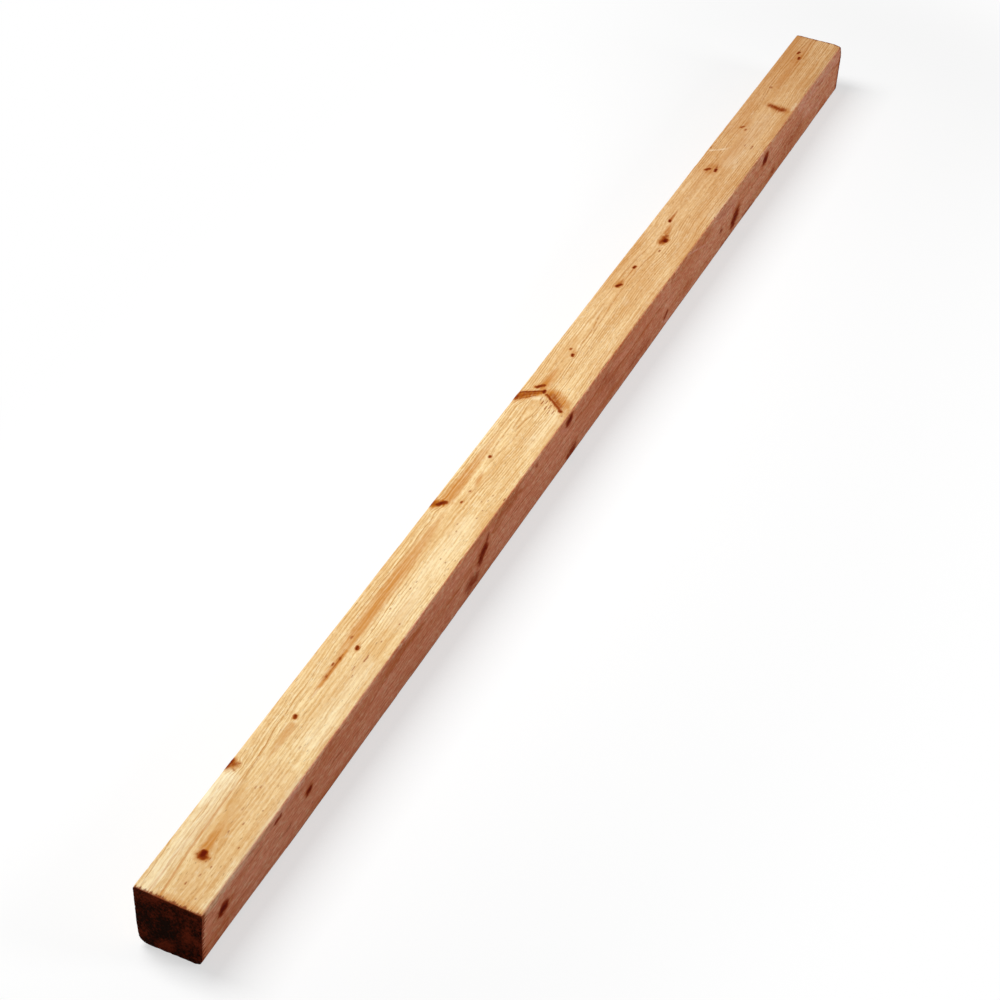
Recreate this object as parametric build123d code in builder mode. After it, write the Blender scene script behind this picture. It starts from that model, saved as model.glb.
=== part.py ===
"""Sawn softwood fence post, lying on one of its long faces.

One piece of timber: a square section with its arrises eased, cut square at both ends. Three
arrises have the mill's small radius. The fourth, at the lower left, is rounder.

Frame: origin in the middle of the lower face, +Z up, +Y along the post from the foot end to
the head end, +X to the right when looking along +Y. Lengths are in millimetres.
"""

import os

from build123d import *

# Driving dimensions: nominal 4 x 4 in by 8 ft
POST_WIDTH = 89.0
POST_HEIGHT = 89.0
POST_LENGTH = 2438.0

# Easing of the long edges
ARRIS_RADIUS = 3.0
ROUND_ARRIS_RADIUS = 8.0

# The saw cut at the foot, which the section is drawn on, facing out of the timber
foot_end = Plane.XZ.offset(POST_LENGTH / 2)

with BuildPart() as post:
    with BuildSketch(foot_end) as section:
        Rectangle(POST_WIDTH, POST_HEIGHT, align=(Align.CENTER, Align.MIN))

        # The mill eases the two upper arrises and the lower right one alike
        upper_corners = section.vertices().group_by(Axis.Y)[-1]
        lower_right_corner = section.vertices().group_by(Axis.Y)[0].sort_by(Axis.X)[-1]
        fillet([*upper_corners, lower_right_corner], radius=ARRIS_RADIUS)

        # The lower left corner is the one still sharp
        lower_left_corner = section.vertices().group_by(Axis.Y)[0].sort_by(Axis.X)[0]
        fillet(lower_left_corner, radius=ROUND_ARRIS_RADIUS)

    extrude(amount=-POST_LENGTH)

post.part.label = "post"

os.makedirs("parts", exist_ok=True)
export_step(post.part, "parts/post.step")
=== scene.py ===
"""Looks of a sawn softwood fence post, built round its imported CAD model.

The timber is one dense mesh that stands for the CAD node. Its wood is a solid texture: growth rings round a
pith that wanders along the post, and fibres along it. Knots, stains, specks and scars are marks, each a round
cone that lies along the surface. The mesh carries the marks nearest to each face as attributes, and the
material draws them from those.

Places on the timber are in millimetres: along, from the foot end; across, from the left arris; and depth,
below the upper face. Names that end in _MM are in millimetres too. All other lengths are in metres, in the
CAD frame.
"""

import math
from collections import namedtuple

import bpy
import numpy as np
from mathutils import Matrix, Vector


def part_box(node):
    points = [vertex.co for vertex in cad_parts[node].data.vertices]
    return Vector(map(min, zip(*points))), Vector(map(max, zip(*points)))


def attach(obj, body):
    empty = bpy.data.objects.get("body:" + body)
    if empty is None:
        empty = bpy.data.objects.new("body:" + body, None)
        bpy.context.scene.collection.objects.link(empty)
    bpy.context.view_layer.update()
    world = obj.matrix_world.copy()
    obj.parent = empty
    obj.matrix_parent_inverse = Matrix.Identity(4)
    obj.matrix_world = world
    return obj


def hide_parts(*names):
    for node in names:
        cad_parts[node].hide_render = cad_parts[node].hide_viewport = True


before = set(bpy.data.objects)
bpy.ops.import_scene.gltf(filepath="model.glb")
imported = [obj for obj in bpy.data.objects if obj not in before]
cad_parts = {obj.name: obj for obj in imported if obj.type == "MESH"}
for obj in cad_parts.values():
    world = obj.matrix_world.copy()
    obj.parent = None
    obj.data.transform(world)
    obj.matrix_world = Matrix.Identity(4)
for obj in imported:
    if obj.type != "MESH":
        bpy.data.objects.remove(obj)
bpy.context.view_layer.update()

# Size of the timber, from the frame
MM = 0.001
post_low, post_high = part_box("post")
WIDTH_MM, LENGTH_MM, HEIGHT_MM = ((post_high - post_low) / MM)[:]

# Easing of the long edges, as in the CAD model
ARRIS_RADIUS_MM = 3.0
ROUND_ARRIS_RADIUS_MM = 8.0

# Mesh: columns over each long face and arris, rows along the post with closer ones at the ends, and rings on
# the ends
FACE_COLUMNS = 28
ARRIS_COLUMNS = 4
ROUND_ARRIS_COLUMNS = 6
ROWS = 700
END_ROWS_MM = (0.5, 1.2, 2.4)
END_RINGS = 14

# The picture that the colours are baked to: the margin round each part of it, and where the ends' part starts
BAKE_MARGIN = 0.006
BAKE_ENDS_FROM = 0.86

# The section is a little out of square near the foot: how far its upper right arris lies below the square one
# there, how far its lower left arris lies inside and above, and the length over which that fades out
DIAMOND_DROP_MM = 8.0
DIAMOND_LEAN_MM = 6.0
DIAMOND_RISE_MM = 3.0
DIAMOND_LENGTH_MM = 800.0

# Arrises worn round near an end: the signs of their side, across and upwards, how far in the wear reaches,
# how wide it is on each face, and where along the post it starts and is full
Wear = namedtuple("Wear", "across upwards depth width start full")
WORN_ARRISES = (
    Wear(1, 1, 3.2, 26.0, 2060.0, 2280.0),
    Wear(-1, -1, 3.0, 22.0, 320.0, 40.0),
    Wear(1, -1, 2.4, 14.0, 260.0, 30.0),
)

# Relief of the mesh, all of it inwards from the CAD faces
WAVE_DEPTH_MM = 0.35
ARRIS_WEAR_MM = 1.3
KNOT_RISE_MM = 0.3
PROUD_CORE = 0.6
SCAR_DEPTH_MM = 0.4
SCAR_RADIUS_MM = 3.0
TORN_END_MM = 0.5
RELIEF_SEED = 7
SHARP_ANGLE_DEG = 40

# Patterns of the relief: the length of a cell along the post, in millimetres, and the cells round the section
BROAD_WAVES = (150.0, 14)
SHORT_WAVES = (24.0, 40)
KNOCKS = (17.0, 31)
WORN_STRETCHES = (110.0, 9)

# Camera of the photograph
CAMERA_PLACE = (1.0206, -2.9827, 2.1856)
CAMERA_HEADING_DEG = 20.54
CAMERA_TILT_DEG = 36.77
CAMERA_ROLL_DEG = 4.60
CAMERA_LENS_MM = 91.85
CAMERA_SENSOR_MM = 36.0

# The pith's line: places along the post, with its place across and its depth there
PITH_ACROSS = ((0, 40), (130, 38), (300, 34), (460, 30), (600, 28), (850, 28), (1136, 33), (1300, 28),
               (1500, 26), (1626, 33), (1700, 28), (1880, 31), (2150, 34), (2250, 29), (2438, 31))
PITH_DEPTH = ((0, 36), (130, 28), (300, 21.5), (470, 18.6), (600, 18.2), (740, 19.5), (900, 15), (1050, 9),
              (1136, 4.5), (1300, 8), (1550, 11), (1850, 8), (2150, 5), (2438, 9))
PITH_SPAN_MM = 50.0

# The middle of the ends' darkest part, in the CAD frame
HEART_MM = (-16.0, 0.0, 46.0)

# The width of a growth ring, and the spans of the rings' long swaying and of the grain's short wandering
RING_WIDTH_MM = 3.4
RING_SWAY_MM = 7.0
GRAIN_WANDER_MM = 4.0

# The depth of the bump in metres, its strength, and the wood's gloss
BUMP_DEPTH = 0.0004
BUMP_STRENGTH = 0.6
GLOSS = 0.02

# The studio: half the floor's width, the distances from the post at which the floor starts and ends to turn
# white, its share of white by the post, and how strong the lamps and the sky are
FLOOR_HALF_WIDTH = 30.0
WHITE_FROM = 0.25
WHITE_BY = 0.75
LEAST_WHITE = 0.6
KEY_POWER = 155
FILL_POWER = 86
SKY_STRENGTH = 0.14


def srgb(red, green, blue):
    """A colour as picked on screen, 0 to 255, as linear RGBA."""
    def linear(value):
        share = value / 255
        return share / 12.92 if share <= 0.04045 else ((share + 0.055) / 1.055) ** 2.4
    return (linear(red), linear(green), linear(blue), 1.0)


# Colours of the wood as they look in plain light; two tints among them also paint shade
EARLYWOOD = srgb(250, 221, 166)
LATEWOOD = srgb(194, 136, 72)
FIBRE_COLOUR = srgb(210, 158, 90)
FLECK_COLOUR = srgb(204, 150, 86)
BLOTCH_COLOUR = srgb(214, 157, 86)
CANAL_COLOUR = srgb(138, 88, 46)
# Darker and warmer towards the head end: partly the wood's tone, partly painted falloff of light
FAR_SHADE_AND_TONE = srgb(236, 218, 210)
# Painted shade: the right face made redder and darker
RIGHT_FACE_SHADE_TINT = srgb(237, 174, 183)
STAIN_COLOUR = srgb(198, 122, 36)
KNOT_RIM = srgb(152, 68, 16)
KNOT_HEART = srgb(104, 24, 4)
PALE_COLOUR = srgb(255, 240, 202)
# Soaked wood; at the right face's lower arris it also paints a contact shadow
SOAK_AND_SHADOW_COLOUR = srgb(126, 50, 22)
END_LIGHT = srgb(146, 54, 30)
END_DARK = srgb(16, 4, 3)

# Colours of the studio: the floor as it shows and as it lights the post, and the white far from the post
FLOOR_SHOWN = srgb(252, 252, 252)
FLOOR_LIGHTING = srgb(140, 140, 140)
WHITE = (1, 1, 1, 1)


def step(value, low, high):
    """An eased step from 0 at low to 1 at high."""
    share = np.clip((value - low) / (high - low), 0, 1)
    return share * share * (3 - 2 * share)


def out_of_square(points):
    """Moves points of the square section to where they lie in the timber."""
    along = points[..., 1] + LENGTH_MM / 2
    to_right = points[..., 0] / WIDTH_MM + 0.5
    up = points[..., 2] / HEIGHT_MM
    near_foot = step(along, DIAMOND_LENGTH_MM, 0)
    lower_left = (1 - to_right) * (1 - up) * near_foot
    upper_right = to_right * up * near_foot
    moved = points.copy()
    moved[..., 0] += DIAMOND_LEAN_MM * lower_left
    moved[..., 2] += DIAMOND_RISE_MM * lower_left - DIAMOND_DROP_MM * upper_right
    for wear in WORN_ARRISES:
        from_side = WIDTH_MM * np.abs(to_right - 0.5 - wear.across / 2)
        from_level = HEIGHT_MM * np.abs(up - 0.5 - wear.upwards / 2)
        share = np.clip(1 - from_side / wear.width, 0, 1) * np.clip(1 - from_level / wear.width, 0, 1)
        depth = wear.depth * share ** 2 * step(along, wear.start, wear.full)
        moved[..., 0] -= wear.across * depth
        moved[..., 2] -= wear.upwards * depth
    return moved


def place_mm(along, across, depth):
    """A place on the timber as millimetres in the CAD frame."""
    return out_of_square(np.array((across - WIDTH_MM / 2, along - LENGTH_MM / 2, HEIGHT_MM - depth)))


def upper(along, across):
    return place_mm(along, across, 0)


def lower(along, across):
    return place_mm(along, across, HEIGHT_MM)


def left(along, depth):
    return place_mm(along, 0, depth)


def right(along, depth):
    return place_mm(along, WIDTH_MM, depth)


# A mark runs from start to end on a face. Core is its share of knot wood, stain the share of resin stain in
# it and round it, and pale the share of bare pale wood. Fade is the share of these that is lost by its end.
Mark = namedtuple("Mark", "start end start_radius end_radius core stain pale fade", defaults=(0.0,))
marks = []

# A tail's radius at its end, as a share of that at its start, and its fade
TAIL_END = 0.3
TAIL_FADE = 0.85


def knot(face, start, end, radius, core=1.0, stain=0.7, end_radius=None):
    marks.append(Mark(face(*start), face(*end), radius, end_radius or radius, core, stain, 0.0))


def tail(face, start, end, radius, stain=0.55, core=0.0):
    """Stained wood that thins and fades out."""
    marks.append(Mark(face(*start), face(*end), radius, TAIL_END * radius, core, stain, 0.0, TAIL_FADE))


def stain(face, start, end, radius, share=0.4):
    marks.append(Mark(face(*start), face(*end), radius, radius, 0.0, share, 0.0))


def pale(face, start, end, radius, share=0.6):
    """Bare or bleached wood."""
    marks.append(Mark(face(*start), face(*end), radius, radius, 0.0, 0.0, share))


def speck(face, along, other, length=4.0, radius=1.2, core=0.36):
    """A short dark line along the grain."""
    half = length / 2 - radius / 2
    marks.append(Mark(face(along - half, other), face(along + half, other), radius, radius, core, 0.0, 0.0))


def mark_upper_face():
    """Marks of the upper face, from the foot end."""
    stain(upper, (0, 64), (235, 66), 16, 0.2)
    pale(upper, (10, 15), (205, 17), 11, 0.5)
    stain(upper, (0, 33.5), (70, 29), 0.9, 0.65)
    stain(upper, (70, 29), (130, 26.5), 0.9, 0.65)
    tail(upper, (130, 26.5), (300, 24), 0.9, 0.65)
    tail(upper, (0, 19), (215, 17), 0.9, 0.65)
    tail(upper, (190, 10), (50, 11.5), 0.8, 0.55)
    knot(upper, (80.5, 45.4), (86, 44), 6.2, stain=0.9, end_radius=5.0)
    tail(upper, (88, 43), (158, 41.5), 4.6, 0.75)
    stain(upper, (0, 40), (0, 84), 8.0, 0.5)
    for along, across in ((82, 55), (54, 57), (76, 53), (170, 50), (209, 47), (213, 52)):
        speck(upper, along, across, 5.5, 1.3, 0.3)
    for along, across in ((71, 62), (35, 49), (130, 53), (113, 75), (180, 72), (20, 70), (150, 62)):
        speck(upper, along, across)

    # Knot on the left arris, with bare wood before it
    pale(upper, (160, 7), (206, 10), 11.0, 1.0)
    knot(upper, (221, 0), (236, 1), 4.0, core=0.85, stain=0.7)
    knot(upper, (228, 5), (231, 8), 4.6, core=0.42, stain=0.8)
    knot(upper, (231, 9), (236, 13), 2.4, core=0.34, stain=0.4, end_radius=1.2)
    knot(upper, (223, 9), (220, 13), 2.4, core=0.28, stain=0.3, end_radius=1.2)

    # Resin band where one ring grazes the face, with the pins and streaks before it
    tail(upper, (325, 36), (245, 37), 3.8, 0.4)
    knot(upper, (338, 32.8), (342, 31.8), 2.5, core=0.85)
    speck(upper, 295, 62, 7, 1.4, 0.28)
    tail(upper, (450, 30), (372, 30), 1.4, 0.5, 0.15)
    stain(upper, (428, 33), (480, 32.5), 3.0, 0.75)
    tail(upper, (428, 33), (378, 34), 3.0, 0.75)
    knot(upper, (416, 33.5), (472, 33), 1.2, core=0.34, stain=0.5)
    for along, across in ((425, 33), (449, 30), (463, 33)):
        speck(upper, along, across, 7, 1.8, 0.5)
    pale(upper, (382, 35), (401, 35), 1.4, 0.55)
    knot(upper, (490, 44), (494, 42.8), 2.6, core=0.9)
    tail(upper, (495, 42.5), (510, 39.5), 2.2, 0.5)
    tail(upper, (489, 44.5), (480, 47.5), 2.0, 0.45)
    speck(upper, 455, 56, 12, 1.2)
    speck(upper, 480, 62, 15, 1.4)
    speck(upper, 441, 61, 6, 1.0)
    tail(upper, (525, 28.5), (445, 31.5), 6.2, 0.7)
    stain(upper, (525, 28.5), (660, 27), 6.2, 0.7)
    tail(upper, (660, 27), (815, 25), 6.2, 0.7)
    pale(upper, (310, 68), (470, 70), 14, 0.3)
    pale(upper, (560, 62), (800, 62), 14, 0.3)
    tail(upper, (600, 20), (812, 18), 1.6, 0.5)
    tail(upper, (600, 36), (770, 35), 1.6, 0.45)
    speck(upper, 507, 28, 6, 2.0, 0.36)
    for along, across in ((637, 83), (677, 81), (692, 80), (712, 81)):
        speck(upper, along, across, 5, 1.3, 0.28)
    for along, across in ((631, 53), (648, 54), (518, 65), (703, 71), (707, 62), (560, 71), (582, 47)):
        speck(upper, along, across)

    # Knot on the left arris with a long resin tail
    knot(upper, (812, 4), (822, 14), 6.4, core=0.4, stain=0.95, end_radius=5.4)
    knot(upper, (814, 9), (823, 16), 4.4, core=0.86, stain=0.6)
    knot(upper, (809, 0), (826, 0), 3.2, core=0.34, stain=0.5)
    tail(upper, (828, 16), (1010, 17), 6.6, 0.75)
    tail(upper, (830, 20), (930, 21), 1.4, 0.55, 0.12)
    knot(upper, (833, 36), (835.5, 36), 2.2, core=0.6, stain=0.3)
    knot(upper, (861, 36), (863.5, 36), 1.9, core=0.46, stain=0.3)
    knot(upper, (949, 28), (951.5, 28), 2.5, core=0.72, stain=0.3)
    tail(upper, (892, 36), (872, 38.5), 2.2, 0.6)
    tail(upper, (892, 36), (918, 33.5), 2.2, 0.6)
    speck(upper, 868, 86, 8, 1.5, 0.4)
    for along, across in ((787, 51), (771, 56), (848, 60), (830, 69), (811, 69), (854, 67), (868, 68)):
        speck(upper, along, across)

    # Two spike knots that meet in a V, with dark edges, stain behind them and torn and bare wood before them
    knot(upper, (1108, 2), (1131, 29), 8.6, core=0.4, stain=0.95, end_radius=4.0)
    knot(upper, (1101, 0), (1107, 3), 4.0, core=0.78, stain=0.5)
    knot(upper, (1118, 3), (1137, 32), 1.9, core=0.78, stain=0.3)
    knot(upper, (1103, 9), (1121, 26), 1.4, core=0.45, stain=0.3)
    knot(upper, (1134, 34), (1139, 33.5), 2.9, core=1.0, stain=0.8)
    knot(upper, (1142, 20), (1151, 27), 3.4, core=0.76, stain=0.8)
    stain(upper, (1140, 31), (1147, 27), 4.0, 0.7)
    tail(upper, (1152, 27), (1212, 28), 4.6, 0.8)
    tail(upper, (1150, 35), (1215, 36), 1.6, 0.4)
    knot(upper, (1131, 40), (1104, 71), 2.8, core=0.62, stain=0.6, end_radius=3.4)
    knot(upper, (1134, 47), (1112, 68), 6.4, core=0.36, stain=0.8)
    knot(upper, (1100, 74), (1102, 72), 3.2, core=0.8, stain=0.6)
    stain(upper, (1136, 49), (1120, 67), 8.5, 0.85)
    tail(upper, (1126, 58), (1152, 58), 8.0, 0.5)
    pale(upper, (1114, 27), (1119, 38), 4.4, 0.65)
    pale(upper, (1010, 66), (1080, 74), 12.0, 0.22)
    speck(upper, 1091, 80, 5, 1.8, 0.3)
    for along, across in ((1118, 37), (1110, 42), (1113, 47), (1099, 51), (1104, 56), (1091, 59), (1094, 65)):
        speck(upper, along, across, 11, 1.1, 0.4)
    knot(upper, (1243.5, 35), (1248, 34), 2.7, core=0.9, stain=0.7)
    tail(upper, (1249, 34), (1268, 31), 2.6, 0.6)
    knot(upper, (1258.5, 26), (1261.5, 26), 2.1, core=0.55, stain=0.4)

    # Small knots along the pith
    stain(upper, (1200, 86), (1500, 85), 6.0, 0.22)
    pale(upper, (1416, 53), (1430, 53), 4.0, 0.4)
    knot(upper, (1459, 23), (1467, 25.5), 3.2, core=0.9, stain=0.8)
    tail(upper, (1466, 24), (1486, 25), 4.4, 0.8, 0.25)
    tail(upper, (1518, 27), (1476, 27), 1.2, 0.5, 0.2)
    knot(upper, (1523, 27), (1528, 27), 2.5, core=0.9)
    tail(upper, (1521, 29), (1510, 31), 2.5, 0.4)
    speck(upper, 1591, 44, 6, 2.0, 0.36)
    knot(upper, (1616, 38), (1634, 37), 4.6, core=0.5, stain=0.8)
    knot(upper, (1623, 41), (1629, 41), 4.2, stain=0.8)
    knot(upper, (1638, 38), (1642, 38), 3.2, core=0.42, stain=0.5)
    tail(upper, (1646, 35), (1692, 29), 3.2, 0.7, 0.12)
    knot(upper, (1685, 27), (1690, 26), 2.5, core=0.85)
    tail(upper, (1691, 26), (1732, 26), 2.4, 0.8, 0.3)
    stain(upper, (1874, 29), (1892, 29), 7.0, 0.45)
    knot(upper, (1876, 22), (1883, 26), 3.2, core=0.66)
    knot(upper, (1878, 37), (1886, 36), 2.6, core=0.88)
    tail(upper, (1886, 35.5), (1910, 33), 2.6, 0.8, 0.35)
    pale(upper, (1943, 6), (1962, 28), 2.6, 0.95)
    speck(upper, 1953, 3.5, 7, 1.4, 0.36)
    speck(upper, 1988, 65, 13, 1.6, 0.36)
    speck(upper, 1990, 52, 8, 1.5, 0.26)
    pale(upper, (1962, 57), (1976, 56), 4.5, 0.4)
    pale(upper, (1915, 50), (2105, 52), 15, 0.3)
    knot(upper, (2047, 26), (2053, 28.5), 2.6, core=0.45, stain=0.6)
    knot(upper, (2040, 35), (2045, 35), 1.9, core=0.38, stain=0.5)
    tail(upper, (2055, 30), (2092, 31), 2.4, 0.45)

    # Spike knot across the face, and the last knots before the head end
    knot(upper, (2149, 46), (2144, 66), 6.2, core=0.5, stain=0.7, end_radius=8.8)
    tail(upper, (2143, 67), (2131, 67), 3.4, 0.5, 0.4)
    pale(upper, (2152, 83), (2180, 82.5), 3.0, 0.85)
    knot(upper, (2213, 24), (2217, 24), 2.7, core=0.34, stain=0.3)
    stain(upper, (2225, 31), (2437, 32), 5.0, 0.3)
    stain(upper, (2030, 12), (2437, 10), 8.0, 0.22)
    stain(upper, (2330, 31), (2360, 31), 4.6, 0.55)
    knot(upper, (2344, 33.5), (2353, 32.8), 2.4, core=0.72, stain=0.7)
    knot(upper, (2365, 25.6), (2373, 26.4), 2.4, core=0.66, stain=0.7)
    tail(upper, (2375, 30), (2437, 32), 3.0, 0.4)


def mark_right_face():
    """Marks of the right face, from the foot end."""
    # Painted light: a pale band just under the upper arris near the foot, the upper face's lit colour carried
    # onto the right face
    pale(right, (15, 3), (250, 3), 7.0, 0.55)
    knot(right, (46, 37), (56, 36.5), 8.0, core=0.9, stain=0.5)
    tail(right, (60, 37), (88, 39), 6.0, 0.45)
    stain(right, (0, 78), (50, 82), 13.0, 0.4)
    knot(right, (180, 12.5), (193, 10.5), 3.6, core=0.5, stain=0.5)
    knot(right, (213, 54), (217, 54), 4.2, core=0.3, stain=0.2)
    knot(right, (265, 37), (270, 36), 6.0, core=0.78)
    stain(right, (310, 8), (340, 9), 8.0, 0.35)
    stain(right, (330, 46), (680, 46), 20.0, 0.13)
    knot(right, (786, 44), (798, 36), 10.5, core=0.78, stain=0.5)
    knot(right, (800, 30), (808, 20), 4.2, core=0.4, stain=0.4)
    knot(right, (748, 68), (774, 70), 12.0, core=0.4, stain=0.2)
    knot(right, (976, 12), (981, 13), 4.0, core=0.32, stain=0.3)
    knot(right, (1096, 11), (1106, 9), 8.0, core=0.86, stain=0.5)
    pale(right, (1072, 13), (1096, 25), 3.0, 0.3)
    knot(right, (1112, 82), (1132, 78), 10.5, core=0.5, stain=0.3)
    stain(right, (1160, 50), (1480, 46), 20.0, 0.13)
    stain(right, (1215, 7), (1470, 7), 8.0, 0.32)
    knot(right, (1235, 20), (1285, 50), 18.0, core=0.17, stain=0.25)
    knot(right, (1365, 66), (1440, 72), 11.0, core=0.17, stain=0.25)
    knot(right, (1513, 69), (1525, 63), 4.2, core=0.5, stain=0.5)
    pale(right, (1506, 72), (1534, 85), 2.0, 0.9)
    pale(right, (1526, 74), (1532, 76), 5.0, 0.4)
    stain(right, (1608, 67), (1632, 68), 6.0, 0.4)
    pale(right, (1605, 1), (1692, 30), 1.5, 0.9)
    knot(right, (1774, 47), (1782, 48), 5.4, core=0.4, stain=0.2)
    pale(right, (1740, 6), (1835, 24), 15.0, 0.3)
    knot(right, (1790, 86), (1830, 86), 6.0, core=0.3, stain=0.2)
    knot(right, (1845, 64), (1858, 56), 13.0, core=0.82, stain=0.6)
    knot(right, (1993, 21), (2003, 20), 10.0, core=0.8, stain=0.5)
    pale(right, (1972, 8), (1984, 14), 7.0, 0.4)
    knot(right, (2050, 74), (2064, 74), 7.0, core=0.3, stain=0.3)
    knot(right, (1900, 84), (1950, 82), 7.0, core=0.22, stain=0.2)
    knot(right, (2120, 60), (2205, 50), 19.0, core=0.17, stain=0.2)
    pale(right, (2230, 38), (2320, 62), 15.0, 0.3)
    knot(right, (2434, 25), (2436, 85), 8.0, core=0.25, stain=0.4)
    pale(right, (2190, 13), (2425, 13), 10.0, 0.55)
    stain(right, (2335, 78), (2360, 79), 7.0, 0.45)


def mark_hidden_faces():
    """Marks of the left and lower faces: far sides of the arris knots, and knots like those that show."""
    knot(left, (224, 3), (234, 9), 6.5, core=0.8)
    knot(left, (812, 4), (824, 12), 7.0, core=0.85)
    tail(left, (830, 9), (960, 11), 6.0, 0.5)
    knot(left, (1104, 4), (1118, 12), 8.5, core=0.75)
    left_knots = ((330, 48, 8), (985, 55, 10), (1410, 40, 7.5), (1660, 62, 11), (1985, 30, 8), (2330, 52, 9))
    lower_knots = ((110, 52, 8), (520, 40, 10), (1020, 30, 8), (1290, 60, 11), (1740, 35, 9), (2150, 48, 12))
    for face, knots, lean in ((left, left_knots, -2), (lower, lower_knots, 2)):
        for along, other, radius in knots:
            end = (along + radius, other + lean)
            knot(face, (along, other), end, radius, core=0.5 + radius / 24)
            tail(face, end, (along + 6 * radius, other + 2 * lean), 0.8 * radius)
    for along, other in ((150, 22), (640, 70), (1180, 35), (1530, 58), (1850, 44), (2240, 25)):
        speck(left, along, other, 7, 1.6, 0.35)
        speck(lower, along - 60, other + 8, 7, 1.6, 0.35)


# How far a mark reaches, in its own radii, as it parts the fibres, stains the wood, bleaches it or is knot
# wood; how near it parts and stains them in full; how far it pushes the fibres, as a share of their distance;
# and how ragged its edge is
FIBRE_REACH = 3.0
STAIN_REACH = 2.4
PALE_REACH = 1.8
CORE_REACH = 1.7
FULL_WITHIN = 0.6
FIBRE_PUSH = 0.7
RAGGEDNESS = 1.1

# How many marks each face carries, how far off they may be, in reaches, as their edges are ragged, and the
# distance that stands for no mark
LAYERS = 5
CARRIED_TO = 1.3
NO_MARK_MM = 100.0


def seen_from(mark, points):
    """Vectors to the points from the nearest place on the mark's line, the mark's radius there, and the share
    of the line up to there.
    """
    line = mark.end - mark.start
    length = np.linalg.norm(line)
    axis = line / length
    arms = points - mark.start
    reach = np.clip(arms @ axis, 0, length)
    radial = arms - reach[:, None] * axis
    run = reach / length
    radius = mark.start_radius + (mark.end_radius - mark.start_radius) * run
    return radial, radius, run


class Graph:
    """Adds nodes to a node tree, by calls that give back the output sockets."""

    def __init__(self, tree):
        self.tree = tree

    def add(self, kind, inputs, **settings):
        """A node with its settings, and its inputs set to values or linked to sockets."""
        node = self.tree.nodes.new(kind)
        for name, value in settings.items():
            setattr(node, name, value)
        for key, value in inputs.items():
            if isinstance(value, bpy.types.NodeSocket):
                self.tree.links.new(value, node.inputs[key])
            else:
                node.inputs[key].default_value = value
        return node

    def math(self, operation, *values):
        return self.add("ShaderNodeMath", dict(enumerate(values)), operation=operation).outputs[0]

    def vector(self, operation, *values):
        node = self.add("ShaderNodeVectorMath", dict(enumerate(values)), operation=operation)
        gives_number = operation in ("LENGTH", "DOT_PRODUCT")
        return node.outputs["Value" if gives_number else "Vector"]

    def scaled(self, vector, factor):
        inputs = {"Vector": vector, "Scale": factor}
        return self.add("ShaderNodeVectorMath", inputs, operation="SCALE").outputs["Vector"]

    def parts(self, vector):
        return self.add("ShaderNodeSeparateXYZ", {0: vector}).outputs

    def joined(self, x, y, z):
        return self.add("ShaderNodeCombineXYZ", {0: x, 1: y, 2: z}).outputs[0]

    def attribute(self, name):
        return self.add("ShaderNodeAttribute", {}, attribute_name=name).outputs

    def eased(self, value, low, high, to_low=0.0, to_high=1.0):
        """Takes low to to_low and high to to_high, with an eased step between them."""
        inputs = {0: value, 1: low, 2: high, 3: to_low, 4: to_high}
        node = self.add("ShaderNodeMapRange", inputs, interpolation_type="SMOOTHSTEP", clamp=False)
        return node.outputs[0]

    def noise(self, place, scale, detail=2.0, roughness=0.5):
        """Noise from 0 to 1, and as a vector, at a place that scale multiplies, one number for each axis."""
        scaled_place = self.vector("MULTIPLY", place, scale)
        inputs = {"Vector": scaled_place, "Scale": 1.0, "Detail": detail, "Roughness": roughness}
        return self.add("ShaderNodeTexNoise", inputs).outputs

    def mix(self, share, first, second, blend="MIX"):
        inputs = {0: share, 6: first, 7: second}
        node = self.add("ShaderNodeMix", inputs, data_type="RGBA", blend_type=blend)
        return node.outputs[2]

    def mix_shaders(self, share, first, second):
        inputs = {0: share, 1: first.outputs[0], 2: second.outputs[0]}
        return self.add("ShaderNodeMixShader", inputs)

    def curve(self, value, points, span):
        """A smooth curve through points, whose second numbers run from 0 to span."""
        node = self.add("ShaderNodeFloatCurve", {"Value": value})
        line = node.mapping.curves[0]
        while len(line.points) < len(points):
            line.points.new(0.5, 0.5)
        for point, (along, height) in zip(line.points, points):
            point.location = (along / LENGTH_MM, height / span)
        node.mapping.update()
        return self.math("MULTIPLY", node.outputs[0], span)


def add_marks(graph, place):
    """What the marks at a place come to: core, stain and pale shares, and how they push the fibres aside."""
    ragged = graph.noise(place, (0.16, 0.11, 0.16), detail=3.0)["Color"]
    ragged = graph.scaled(graph.vector("SUBTRACT", ragged, (0.5, 0.5, 0.5)), RAGGEDNESS)
    core = stain = pale = 0.0
    shift = (0.0, 0.0, 0.0)
    for layer in range(LAYERS):
        radial = graph.attribute(f"radial_{layer}")["Vector"]
        radius = graph.attribute(f"radius_{layer}")["Fac"]
        looks = graph.parts(graph.attribute(f"looks_{layer}")["Vector"])
        radii = graph.scaled(radial, graph.math("DIVIDE", 1.0, radius))
        distance = graph.vector("LENGTH", graph.vector("ADD", radii, ragged))
        core = graph.math("MAXIMUM", core, graph.eased(distance, CORE_REACH, 0.0, 0.0, looks["X"]))
        stain = graph.math("MAXIMUM", stain, graph.eased(distance, STAIN_REACH, FULL_WITHIN, 0.0, looks["Y"]))
        pale = graph.math("MAXIMUM", pale, graph.eased(distance, PALE_REACH, 0.0, 0.0, looks["Z"]))
        push = graph.eased(distance, FULL_WITHIN, FIBRE_REACH, -FIBRE_PUSH, 0.0)
        push = graph.math("MULTIPLY", push, looks["X"])
        shift = graph.vector("ADD", shift, graph.scaled(radial, push))
    return core, stain, pale, shift


# Patterns in the wood, each from 0 to about 1, and the distance from the pith in millimetres
Grain = namedtuple("Grain", "from_pith latewood fibres flecks fuzz")


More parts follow.
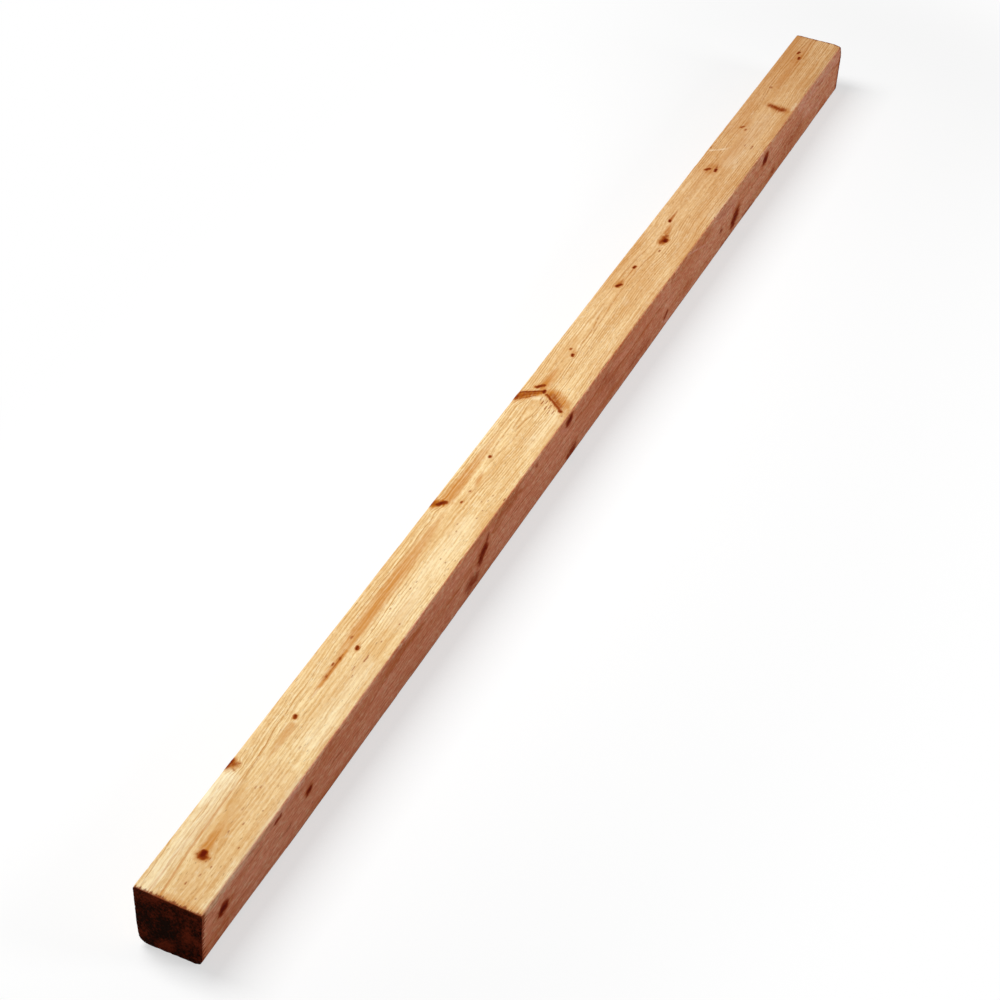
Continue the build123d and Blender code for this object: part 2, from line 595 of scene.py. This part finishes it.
def add_rings(graph, grown, along_share):
    """Growth rings: the distance from the pith's line, and the share of dark latewood."""
    parts = graph.parts(grown)
    pith_across = graph.curve(along_share, PITH_ACROSS, PITH_SPAN_MM)
    pith_depth = graph.curve(along_share, PITH_DEPTH, PITH_SPAN_MM)
    from_pith_x = graph.math("SUBTRACT", graph.math("ADD", parts["X"], WIDTH_MM / 2), pith_across)
    from_pith_z = graph.math("ADD", graph.math("SUBTRACT", parts["Z"], HEIGHT_MM), pith_depth)
    from_pith = graph.vector("LENGTH", graph.joined(from_pith_x, 0.0, from_pith_z))
    sway = graph.noise(grown, (0.03, 0.0035, 0.03), detail=3.0, roughness=0.6)["Fac"]
    from_pith = graph.math("MULTIPLY_ADD", graph.math("SUBTRACT", sway, 0.5), RING_SWAY_MM, from_pith)
    rings = graph.math("MULTIPLY", from_pith, 1 / RING_WIDTH_MM)
    year = graph.math("FRACT", rings)
    latewood = graph.math("MULTIPLY", graph.eased(year, 0.35, 0.84), graph.eased(year, 1.0, 0.84))
    each_year = graph.add("ShaderNodeTexWhiteNoise", {"W": graph.math("FLOOR", rings)}, noise_dimensions="1D")
    strength = graph.eased(each_year.outputs["Value"], 0.0, 1.0, 0.15, 1.0)
    # Rings are faint where they graze the upper or lower face
    steepness = graph.math("DIVIDE", graph.math("ABSOLUTE", from_pith_x), from_pith)
    strength = graph.math("MULTIPLY", strength, graph.eased(steepness, 0.0, 0.5, 0.3, 1.0))
    # Near the foot, they show on the left of the pith
    near_foot = graph.eased(along_share, 0.24, 0.08, 0.0, 0.75)
    hidden = graph.math("MULTIPLY", near_foot, graph.eased(from_pith_x, -6.0, 14.0))
    strength = graph.math("MULTIPLY", strength, graph.math("SUBTRACT", 1.0, hidden))
    clearness = graph.eased(graph.noise(grown, (0.04, 0.004, 0.04), detail=1.0)["Fac"], 0.35, 0.6, 0.35, 1.1)
    return from_pith, graph.math("MULTIPLY", latewood, graph.math("MULTIPLY", strength, clearness))


def add_grain(graph, place, grown, along_share):
    """Rings, long fibres and shorter flecks along the grain, and the saw's fuzz."""
    from_pith, latewood = add_rings(graph, grown, along_share)
    fibres = graph.noise(grown, (0.45, 0.004, 0.45), detail=3.0, roughness=0.55)["Fac"]
    flecks = graph.noise(grown, (0.3, 0.018, 0.3), detail=4.0, roughness=0.7)["Fac"]
    fuzz = graph.noise(place, (0.3, 0.1, 0.3), detail=3.0, roughness=0.65)["Fac"]
    return Grain(from_pith, latewood, fibres, flecks, fuzz)


def clear_wood(graph, place, grown, grain):
    """The colour of sawn wood that bears no mark."""
    canals = graph.eased(graph.noise(grown, (0.8, 0.09, 0.8), detail=1.0)["Fac"], 0.63, 0.78)
    blotches = graph.noise(place, (0.05, 0.006, 0.05), detail=3.0)["Fac"]
    colour = graph.mix(graph.math("MULTIPLY", grain.latewood, 0.9), EARLYWOOD, LATEWOOD)
    colour = graph.mix(graph.eased(grain.fibres, 0.38, 0.68, 0.0, 0.55), colour, FIBRE_COLOUR)
    for pattern, share in ((grain.flecks, 0.3), (grain.fuzz, 0.42)):
        colour = graph.mix(graph.eased(pattern, 0.5, 0.72, 0.0, share), colour, FLECK_COLOUR)
        colour = graph.mix(graph.eased(pattern, 0.5, 0.28, 0.0, share), colour, PALE_COLOUR)
    colour = graph.mix(graph.eased(blotches, 0.4, 0.75, 0.0, 0.55), colour, BLOTCH_COLOUR)
    colour = graph.mix(graph.eased(grain.from_pith, 9.0, 2.0, 0.0, 0.3), colour, BLOTCH_COLOUR)
    return graph.mix(graph.math("MULTIPLY", canals, 0.5), colour, CANAL_COLOUR)


def marked_wood(graph, colour, grain, core, stain, pale):
    """Stains, bare patches and knots laid over the wood's colour, each a little uneven."""
    stain = graph.math("MULTIPLY", stain, graph.eased(grain.fibres, 0.3, 0.6, 0.65, 1.1))
    colour = graph.mix(stain, colour, STAIN_COLOUR)
    pale = graph.math("MULTIPLY", pale, graph.eased(grain.flecks, 0.65, 0.4, 0.35, 1.0))
    colour = graph.mix(pale, colour, PALE_COLOUR)
    core = graph.math("MULTIPLY", core, graph.eased(grain.fuzz, 0.3, 0.7, 0.78, 1.2))
    colour = graph.mix(graph.eased(core, 0.0, 0.55), colour, KNOT_RIM)
    return graph.mix(graph.eased(core, 0.4, 1.0), colour, KNOT_HEART)


def tinted_and_shaded_wood(graph, colour, grain, at, along_share, below_top, on_right):
    """Darker and warmer towards the head end: partly the wood's tone, partly painted falloff of light. The
    right face carries painted shade, redder and darker, less so below its upper arris and far along. It is
    grimy in flecks, and has a painted contact shadow at its lower arris.
    """
    elsewhere = graph.math("SUBTRACT", 1.0, on_right)
    # Painted falloff of light towards the head end, along with a warmer tone of the wood
    far = graph.math("MULTIPLY", graph.eased(along_share, 0.3, 0.85), elsewhere)
    colour = graph.mix(far, colour, FAR_SHADE_AND_TONE, blend="MULTIPLY")
    # Painted shade on the right face, redder and darker, mottled by the fuzz
    painted_shade = graph.math("MULTIPLY", on_right, graph.eased(grain.fuzz, 0.3, 0.7, 0.7, 1.3))
    least = graph.eased(along_share, 0.0, 0.12, 0.55, 0.86)
    painted_shade = graph.math("MULTIPLY", painted_shade, graph.eased(below_top, 14.0, 2.0, 1.0, least))
    painted_shade = graph.math("MULTIPLY", painted_shade, graph.eased(along_share, 0.55, 0.75, 1.0, 0.88))
    colour = graph.mix(painted_shade, colour, RIGHT_FACE_SHADE_TINT, blend="MULTIPLY")
    # Painted contact shadow along the right face's lower arris; the flecks are grime
    painted_contact_shadow = graph.eased(at["Z"], 6.0, 1.0, 0.0, 0.6)
    grime_and_contact_shadow = graph.math("MAXIMUM", painted_contact_shadow, graph.eased(grain.flecks, 0.52, 0.8, 0.0, 0.4))
    return graph.mix(graph.math("MULTIPLY", on_right, grime_and_contact_shadow), colour, SOAK_AND_SHADOW_COLOUR, blend="MULTIPLY")


def with_saw_cuts(graph, colour, place, grain, at, below_top, on_right):
    """The ends' colour: dark and mottled, darkest in the heart, with stain that soaks in along the fibres."""
    from_end = graph.math("SUBTRACT", LENGTH_MM / 2, graph.math("ABSOLUTE", at["Y"]))
    furthest = graph.eased(on_right, 0.0, 1.0, 5.0, 12.0)
    soak = graph.math("MULTIPLY", graph.eased(grain.flecks, 0.35, 0.7), furthest)
    inset = graph.math("SUBTRACT", from_end, soak)
    colour = graph.mix(graph.eased(inset, 3.0, -1.0, 0.0, 0.85), colour, SOAK_AND_SHADOW_COLOUR)
    mottle = graph.noise(place, (0.27, 0.27, 0.27), detail=4.0, roughness=0.7)["Fac"]
    patches = graph.noise(place, (0.045, 0.045, 0.045), detail=1.0)["Fac"]
    mottle = graph.math("MULTIPLY_ADD", patches, 0.8, mottle)
    mottle = graph.math("MULTIPLY_ADD", grain.latewood, -0.08, mottle)
    in_section = graph.vector("MULTIPLY", graph.vector("SUBTRACT", place, HEART_MM), (1, 0, 1))
    from_heart = graph.vector("LENGTH", in_section)
    mottle = graph.math("SUBTRACT", mottle, graph.eased(from_heart, 40.0, 8.0, 0.0, 0.15))
    cut = graph.mix(graph.eased(mottle, 0.7, 1.15), END_DARK, END_LIGHT)
    cut = graph.mix(graph.eased(below_top, 6.0, 0.0, 0.0, 0.65), cut, SOAK_AND_SHADOW_COLOUR)
    return graph.mix(graph.eased(from_end, 1.2, 0.1, 0.0, 0.96), colour, cut)


def wood_material():
    """Softwood as a solid texture, in millimetres of the CAD frame."""
    material = bpy.data.materials.new("softwood")
    material.use_nodes = True
    tree = material.node_tree
    tree.nodes.clear()
    graph = Graph(tree)

    place = graph.scaled(graph.add("ShaderNodeTexCoord", {}).outputs["Object"], 1 / MM)
    core, stain, pale, shift = add_marks(graph, place)
    wander = graph.noise(place, (0.025, 0.018, 0.025))["Color"]
    wander = graph.scaled(graph.vector("SUBTRACT", wander, (0.5, 0.5, 0.5)), GRAIN_WANDER_MM)
    grown = graph.vector("ADD", graph.vector("ADD", place, shift), wander)
    at = graph.parts(place)
    along_share = graph.math("MULTIPLY_ADD", at["Y"], 1 / LENGTH_MM, 0.5)

    # The right face starts on the round of the upper right arris, which lies lower near the foot
    to_right = graph.math("MULTIPLY_ADD", at["X"], 1 / WIDTH_MM, 0.5)
    near_foot = graph.eased(along_share, DIAMOND_LENGTH_MM / LENGTH_MM, 0.0, 0.0, DIAMOND_DROP_MM)
    drop = graph.math("MULTIPLY", to_right, near_foot)
    below_top = graph.math("SUBTRACT", HEIGHT_MM, graph.math("ADD", at["Z"], drop))
    from_right = graph.math("SUBTRACT", WIDTH_MM / 2, at["X"])
    past_arris = graph.eased(graph.math("SUBTRACT", below_top, from_right), -3.0, -0.6)
    on_right = graph.math("MULTIPLY", past_arris, graph.eased(from_right, 7.0, 4.0))
    grain = add_grain(graph, place, grown, along_share)
    colour = clear_wood(graph, place, grown, grain)
    colour = marked_wood(graph, colour, grain, core, stain, pale)
    colour = tinted_and_shaded_wood(graph, colour, grain, at, along_share, below_top, on_right)
    colour = with_saw_cuts(graph, colour, place, grain, at, below_top, on_right)

    # Relief too fine for the mesh
    height = graph.math("MULTIPLY_ADD", grain.latewood, 0.6, grain.fibres)
    height = graph.math("MULTIPLY_ADD", grain.fuzz, 0.6, height)
    bump = graph.add("ShaderNodeBump", {"Strength": BUMP_STRENGTH, "Distance": BUMP_DEPTH, "Height": height})
    surface = graph.add("ShaderNodeBsdfPrincipled", {
        "Base Color": colour,
        "Roughness": graph.eased(grain.fibres, 0.2, 0.8, 0.66, 0.82),
        "Specular IOR Level": GLOSS,
        "Normal": bump.outputs[0],
    })
    graph.add("ShaderNodeOutputMaterial", {"Surface": surface.outputs[0]})
    return material


def section_outline():
    """The section as seen along +Y, counter-clockwise from the lower left.

    Gives places (x, z) in millimetres, outward normals, and how far round an arris each place is: 1 in its
    middle.
    """
    half = WIDTH_MM / 2
    corners = (
        (half, 0.0, ARRIS_RADIUS_MM, ARRIS_COLUMNS, -90),
        (half, HEIGHT_MM, ARRIS_RADIUS_MM, ARRIS_COLUMNS, 0),
        (-half, HEIGHT_MM, ARRIS_RADIUS_MM, ARRIS_COLUMNS, 90),
        (-half, 0.0, ROUND_ARRIS_RADIUS_MM, ROUND_ARRIS_COLUMNS, 180),
    )
    middle = np.array((0.0, HEIGHT_MM / 2))
    places, normals, rounds = [], [], []
    last = np.array((-half + ROUND_ARRIS_RADIUS_MM, 0.0))
    for x, z, radius, columns, first_angle in corners:
        corner = np.array((x, z))
        centre = corner + radius * np.sign(middle - corner)
        turns = np.linspace(0, 1, columns + 1)
        angles = np.radians(first_angle + 90 * turns)
        arc_normals = np.stack((np.cos(angles), np.sin(angles)), axis=1)
        arc = centre + radius * arc_normals
        shares = np.linspace(0, 1, FACE_COLUMNS, endpoint=False)[1:, None]
        places += [last + (arc[0] - last) * shares, arc]
        normals += [np.repeat(arc_normals[:1], len(shares), axis=0), arc_normals]
        rounds += [np.zeros(len(shares)), np.sin(np.pi * turns)]
        last = arc[-1]
    return np.concatenate(places), np.concatenate(normals), np.concatenate(rounds)


def smooth_noise(random, along, around, cell_along, cells_around):
    """Noise from -1 to 1 on a grid of places along the post and shares of the way round it."""
    cells_along = int(LENGTH_MM / cell_along) + 2
    lattice = random.uniform(-1, 1, (cells_along, cells_around))
    rows = along / cell_along
    columns = around * cells_around
    row = rows.astype(int)
    column = columns.astype(int)
    row_share = step(rows - row, 0, 1)[:, None]
    column_share = step(columns - column, 0, 1)[None, :]
    column = column % cells_around
    following = (column + 1) % cells_around
    near = lattice[row][:, column] * (1 - column_share) + lattice[row][:, following] * column_share
    far = lattice[row + 1][:, column] * (1 - column_share) + lattice[row + 1][:, following] * column_share
    return near * (1 - row_share) + far * row_share


def surface_depths(grid, rounds):
    """How far each point of the grid lies under the CAD face, in millimetres."""
    random = np.random.default_rng(RELIEF_SEED)
    along = grid[:, 0, 1] + LENGTH_MM / 2
    around = np.arange(grid.shape[1]) / grid.shape[1]
    broad = smooth_noise(random, along, around, *BROAD_WAVES)
    short = smooth_noise(random, along, around, *SHORT_WAVES)
    depths = WAVE_DEPTH_MM * (0.5 + 0.35 * broad + 0.15 * short)

    # The arrises are knocked and worn in places
    knocks = smooth_noise(random, along, around, *KNOCKS)
    wear = smooth_noise(random, along, around, *WORN_STRETCHES)
    depths += ARRIS_WEAR_MM * rounds * (step(knocks, 0.35, 1.0) + 0.35 * step(wear, -0.2, 0.9))

    # Knots stand a little proud, and bare scars a little deep
    points = grid.reshape(-1, 3)
    for mark in marks:
        radial, radius, _ = seen_from(mark, points)
        inside = step(np.linalg.norm(radial, axis=1) / radius, 1.4, 0.5).reshape(depths.shape)
        if mark.core > PROUD_CORE:
            depths -= KNOT_RISE_MM * inside
        elif mark.start_radius < SCAR_RADIUS_MM:
            depths += SCAR_DEPTH_MM * mark.pale * inside

    # The saw tears the edges of the ends
    torn = np.abs(random.normal(0, 1, (len(END_ROWS_MM), grid.shape[1])))
    fading = TORN_END_MM * np.linspace(1, 0.3, len(END_ROWS_MM))[:, None]
    depths[:len(END_ROWS_MM)] += fading * torn
    depths[-len(END_ROWS_MM):] += fading[::-1] * torn[:, ::-1]
    return np.maximum(depths, 0)


def post_mesh():
    """The timber as rows of its section along the post, closed by rings at each end."""
    outline, normals, rounds = section_outline()
    columns = len(outline)
    inner_rows = np.linspace(END_ROWS_MM[-1], LENGTH_MM - END_ROWS_MM[-1], ROWS)
    head_rows = LENGTH_MM - np.array(END_ROWS_MM[-2::-1] + (0.0,))
    rows = np.concatenate(((0.0,), END_ROWS_MM[:-1], inner_rows, head_rows)) - LENGTH_MM / 2

    grid = np.empty((len(rows), columns, 3))
    grid[:, :, 0] = outline[:, 0]
    grid[:, :, 1] = rows[:, None]
    grid[:, :, 2] = outline[:, 1]
    depths = surface_depths(out_of_square(grid), rounds)
    grid[:, :, 0] -= depths * normals[:, 0]
    grid[:, :, 2] -= depths * normals[:, 1]
    grid = out_of_square(grid)

    # Each end is closed by rings that shrink to its middle
    middle = np.array((0.0, 0.0, HEIGHT_MM / 2))
    shares = np.linspace(1, 0, END_RINGS + 1)[1:-1, None, None]

    def end_rings(edge):
        centre = middle + (0.0, edge[0, 1], 0.0)
        return centre + (edge - centre) * shares

    sheets = np.concatenate((end_rings(grid[0])[::-1], grid, end_rings(grid[-1])))
    points = np.concatenate((sheets.reshape(-1, 3), (middle + (0, rows[0], 0), middle + (0, rows[-1], 0))))

    # Quads between the rows and rings, and a fan in the middle of each end
    first = np.arange(len(sheets) - 1)[:, None] * columns
    column = np.arange(columns)[None, :]
    following = (column + 1) % columns
    corners = (first + column, first + columns + column, first + columns + following, first + following)
    quads = np.stack(corners, axis=-1)
    last = len(points) - 2 - columns
    foot_fan = [(len(points) - 2, each, (each + 1) % columns) for each in range(columns)]
    head_fan = [(len(points) - 1, last + (each + 1) % columns, last + each) for each in range(columns)]
    faces = quads.reshape(-1, 4).tolist() + foot_fan + head_fan

    mesh = bpy.data.meshes.new("timber_post")
    mesh.from_pydata((points * MM).tolist(), [], faces)
    mesh.shade_smooth()
    mesh.set_sharp_from_angle(angle=math.radians(SHARP_ANGLE_DEG))
    add_bake_map(mesh, rows, outline, points)
    carry_marks(mesh)
    return mesh


def add_bake_map(mesh, rows, outline, points):
    """Lays the faces out on a picture that their colours can be baked to.

    The long faces are unrolled in two halves of the length, one above the other. The ends lie beside them.
    """
    steps = np.linalg.norm(np.roll(outline, -1, axis=0) - outline, axis=1)
    girth = np.concatenate(((0.0,), np.cumsum(steps) / steps.sum()))
    quad_rows = np.arange(len(rows) - 1)[:, None, None]
    quad_columns = np.arange(len(outline))[None, :, None]
    middle = len(rows) // 2
    second_half = quad_rows >= middle
    start = np.where(second_half, rows[middle], rows[0])
    length = np.where(second_half, rows[-1], rows[middle]) - start
    along = (rows[quad_rows + np.array((0, 1, 1, 0))] - start) / length
    around = girth[quad_columns + np.array((0, 0, 1, 1))]
    across_picture = BAKE_MARGIN + along * (BAKE_ENDS_FROM - 2 * BAKE_MARGIN)
    up_picture = BAKE_MARGIN + 0.5 * second_half + around * (0.5 - 2 * BAKE_MARGIN)
    long_faces = np.stack(np.broadcast_arrays(across_picture, up_picture), axis=-1).reshape(-1, 2)

    corner_points = np.empty(len(mesh.loops), dtype=int)
    mesh.loops.foreach_get("vertex_index", corner_points)
    x, y, z = points[corner_points].T
    end_size = 1 - BAKE_ENDS_FROM - 2 * BAKE_MARGIN
    across_end = BAKE_ENDS_FROM + BAKE_MARGIN + end_size * (x / WIDTH_MM + 0.5)
    up_end = BAKE_MARGIN + 0.5 * (y > 0) + end_size * z / HEIGHT_MM
    places = np.stack((across_end, up_end), axis=1)
    first = 4 * len(outline) * (END_RINGS - 1)
    places[first:first + len(long_faces)] = long_faces
    mesh.uv_layers.new(name="OFBake").data.foreach_set("uv", places.ravel())


def carry_marks(mesh):
    """Gives each face the marks that reach it most, as attributes that the material reads."""
    points = np.empty(3 * len(mesh.vertices))
    mesh.vertices.foreach_get("co", points)
    points = points.reshape(-1, 3) / MM
    corner_points = np.empty(len(mesh.loops), dtype=int)
    mesh.loops.foreach_get("vertex_index", corner_points)
    face_sizes = np.empty(len(mesh.polygons), dtype=int)
    mesh.polygons.foreach_get("loop_total", face_sizes)
    corner_faces = np.repeat(np.arange(len(face_sizes)), face_sizes)
    first_corners = np.cumsum(face_sizes) - face_sizes

    # How far into each mark's reach each face comes: 0 on its line, 1 where it ends
    depths_in = np.empty((len(face_sizes), len(marks)), dtype=np.float32)
    for number, mark in enumerate(marks):
        radial, radius, _ = seen_from(mark, points)
        reach = FIBRE_REACH if mark.core else STAIN_REACH if mark.stain else PALE_REACH
        share = np.linalg.norm(radial, axis=1) / (radius * reach)
        depths_in[:, number] = np.minimum.reduceat(share[corner_points], first_corners)
    strongest = np.argsort(depths_in, axis=1)[:, :LAYERS]

    for layer in range(LAYERS):
        chosen = strongest[:, layer]
        in_reach = depths_in[np.arange(len(chosen)), chosen] < CARRIED_TO
        radials = np.full((len(corner_points), 3), NO_MARK_MM)
        radii = np.ones(len(corner_points))
        looks = np.zeros((len(corner_points), 3))
        for number, mark in enumerate(marks):
            corners = (in_reach & (chosen == number))[corner_faces]
            radials[corners], radii[corners], run = seen_from(mark, points[corner_points[corners]])
            looks[corners] = np.outer(1 - mark.fade * run ** 2, (mark.core, mark.stain, mark.pale))
        radial_values = mesh.attributes.new(f"radial_{layer}", "FLOAT_VECTOR", "CORNER")
        radial_values.data.foreach_set("vector", radials.ravel())
        radius_values = mesh.attributes.new(f"radius_{layer}", "FLOAT", "CORNER")
        radius_values.data.foreach_set("value", radii)
        looks_values = mesh.attributes.new(f"looks_{layer}", "FLOAT_VECTOR", "CORNER")
        looks_values.data.foreach_set("vector", looks.ravel())


def build_post():
    mark_upper_face()
    mark_right_face()
    mark_hidden_faces()
    post = bpy.data.objects.new("timber_post", post_mesh())
    bpy.context.scene.collection.objects.link(post)
    post.data.materials.append(wood_material())
    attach(post, "root")
    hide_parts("post")


def seen_share(graph):
    """1 for the rays that show the studio: from the camera, and by reflection or through glass."""
    rays = graph.add("ShaderNodeLightPath", {}).outputs
    seen = graph.math("MAXIMUM", rays["Is Camera Ray"], rays["Is Glossy Ray"])
    return graph.math("MAXIMUM", seen, rays["Is Transmission Ray"])


def build_floor():
    """A pale floor: it shows white with the post's shadow, and gives the post less light than white would."""
    mesh = bpy.data.meshes.new("floor")
    half = FLOOR_HALF_WIDTH
    corners = [(-half, -half, 0), (half, -half, 0), (half, half, 0), (-half, half, 0)]
    mesh.from_pydata(corners, [], [(0, 1, 2, 3)])
    floor = bpy.data.objects.new("floor", mesh)
    bpy.context.scene.collection.objects.link(floor)
    material = bpy.data.materials.new("floor")
    material.use_nodes = True
    tree = material.node_tree
    tree.nodes.clear()
    graph = Graph(tree)
    pale_floor = graph.add("ShaderNodeBsdfDiffuse", {"Color": FLOOR_SHOWN})
    white = graph.add("ShaderNodeEmission", {"Color": WHITE, "Strength": 1.0})
    at = graph.parts(graph.add("ShaderNodeTexCoord", {}).outputs["Object"])
    beyond = graph.math("SUBTRACT", graph.math("ABSOLUTE", at["Y"]), LENGTH_MM * MM / 2)
    from_post = graph.vector("LENGTH", graph.joined(at["X"], graph.math("MAXIMUM", beyond, 0.0), 0.0))
    white_share = graph.eased(from_post, WHITE_FROM, WHITE_BY, LEAST_WHITE, 1.0)
    shown = graph.mix_shaders(white_share, pale_floor, white)
    lighting = graph.add("ShaderNodeBsdfDiffuse", {"Color": FLOOR_LIGHTING})
    surface = graph.mix_shaders(seen_share(graph), lighting, shown)
    graph.add("ShaderNodeOutputMaterial", {"Surface": surface.outputs[0]})
    mesh.materials.append(material)


def add_lamp(name, place, target, width, length, power):
    """A soft rectangular lamp that faces target."""
    data = bpy.data.lights.new(name, "AREA")
    data.shape = "RECTANGLE"
    data.size = width
    data.size_y = length
    data.energy = power
    lamp = bpy.data.objects.new(name, data)
    lamp.location = place
    lamp.rotation_euler = (Vector(target) - Vector(place)).to_track_quat("-Z", "Y").to_euler()
    bpy.context.scene.collection.objects.link(lamp)


def build_lights():
    """A large soft key lamp from the upper left, a weak one from the right, and a dim sky."""
    add_lamp("key", place=(-2.0, -0.3, 3.2), target=(0, -0.3, 0), width=1.6, length=2.6, power=KEY_POWER)
    add_lamp("fill", place=(4.5, 0.8, 1.6), target=(0, 0.8, 0), width=1.5, length=2.5, power=FILL_POWER)
    world = bpy.data.worlds.new("studio")
    bpy.context.scene.world = world
    world.use_nodes = True
    tree = world.node_tree
    tree.nodes.clear()
    graph = Graph(tree)
    shown = graph.add("ShaderNodeBackground", {"Color": WHITE, "Strength": 1.0})
    lighting = graph.add("ShaderNodeBackground", {"Color": WHITE, "Strength": SKY_STRENGTH})
    surface = graph.mix_shaders(seen_share(graph), lighting, shown)
    graph.add("ShaderNodeOutputWorld", {"Surface": surface.outputs[0]})


def build_camera():
    """The camera where the photograph was taken from."""
    heading = math.radians(CAMERA_HEADING_DEG)
    tilt = math.radians(CAMERA_TILT_DEG)
    roll = math.radians(CAMERA_ROLL_DEG)
    level_share = math.cos(tilt)
    forward = Vector((-math.sin(heading) * level_share, math.cos(heading) * level_share, -math.sin(tilt)))
    level = forward.cross(Vector((0, 0, 1))).normalized()
    upright = level.cross(forward)
    right_way = math.cos(roll) * level + math.sin(roll) * upright
    up_way = math.cos(roll) * upright - math.sin(roll) * level
    data = bpy.data.cameras.new("camera")
    data.lens = CAMERA_LENS_MM
    data.sensor_width = CAMERA_SENSOR_MM
    camera = bpy.data.objects.new("camera", data)
    turn = Matrix((right_way, up_way, -forward)).transposed().to_4x4()
    camera.matrix_world = Matrix.Translation(CAMERA_PLACE) @ turn
    bpy.context.scene.collection.objects.link(camera)
    bpy.context.scene.camera = camera


build_post()
build_floor()
build_lights()
build_camera()
bpy.context.scene.view_settings.view_transform = "Standard"
